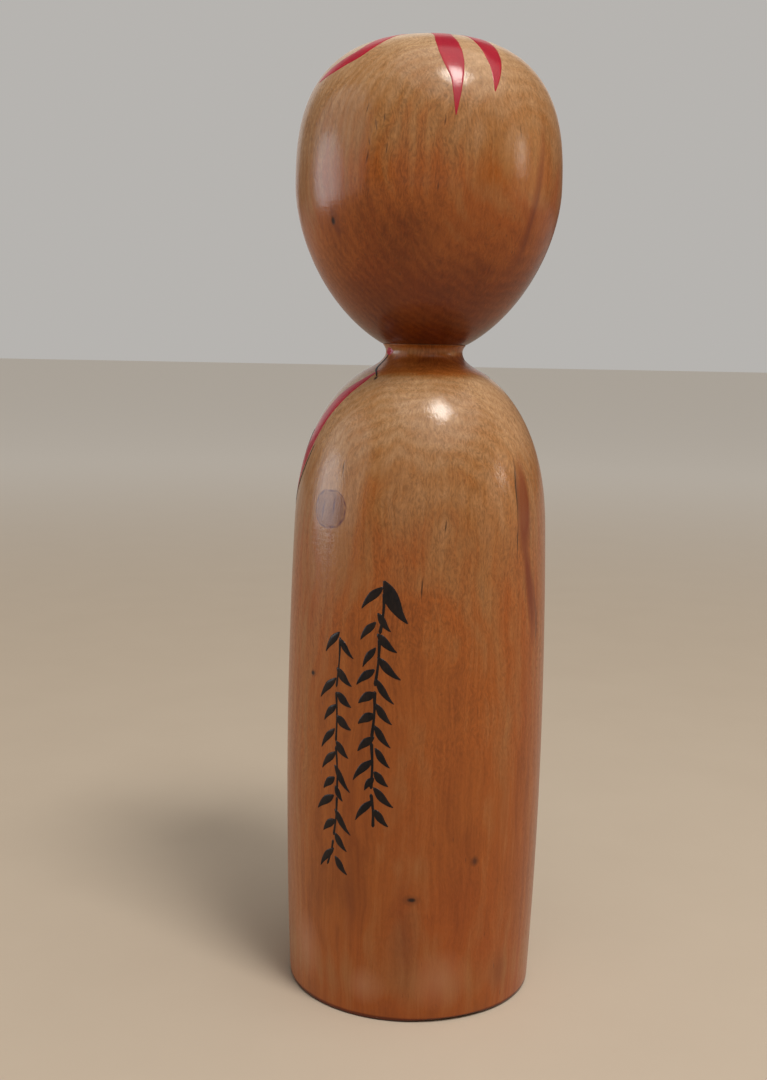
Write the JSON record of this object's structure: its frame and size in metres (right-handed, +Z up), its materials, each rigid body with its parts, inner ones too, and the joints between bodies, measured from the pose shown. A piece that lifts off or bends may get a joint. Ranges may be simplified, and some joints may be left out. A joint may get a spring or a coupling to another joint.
{
  "type": "kokeshi doll",
  "caption": "Turned wooden kokeshi doll: barrel-sided body, narrow neck and egg-shaped head that turns on a hidden peg.",
  "frame": {"origin": "centre of the base, on the floor", "axes": "+Z up along the turning axis; the doll's face looks along -Y; +X is the doll's left"},
  "size_m": [0.0836, 0.0836, 0.3015],
  "materials": {
    "body_wood": "aged varnish over pale wood, glossy",
    "head_wood": "aged varnish over pale wood, glossy",
    "peg_wood": "bare, waxed",
    "red_dye": "crimson dye brushed on the wood, under the varnish",
    "black_ink": "black ink brushed on the wood, under the varnish"
  },
  "bodies": {
    "body": {"body": "body_wood"},
    "head": {"head": "head_wood", "neck_peg": "peg_wood"}
  },
  "joints": [
    {"name": "head_turn", "type": "hinge", "parent": "body", "child": "head", "pos_m": [0, 0, 0.2086], "axis": [0, 0, 1], "continuous": true}
  ]
}
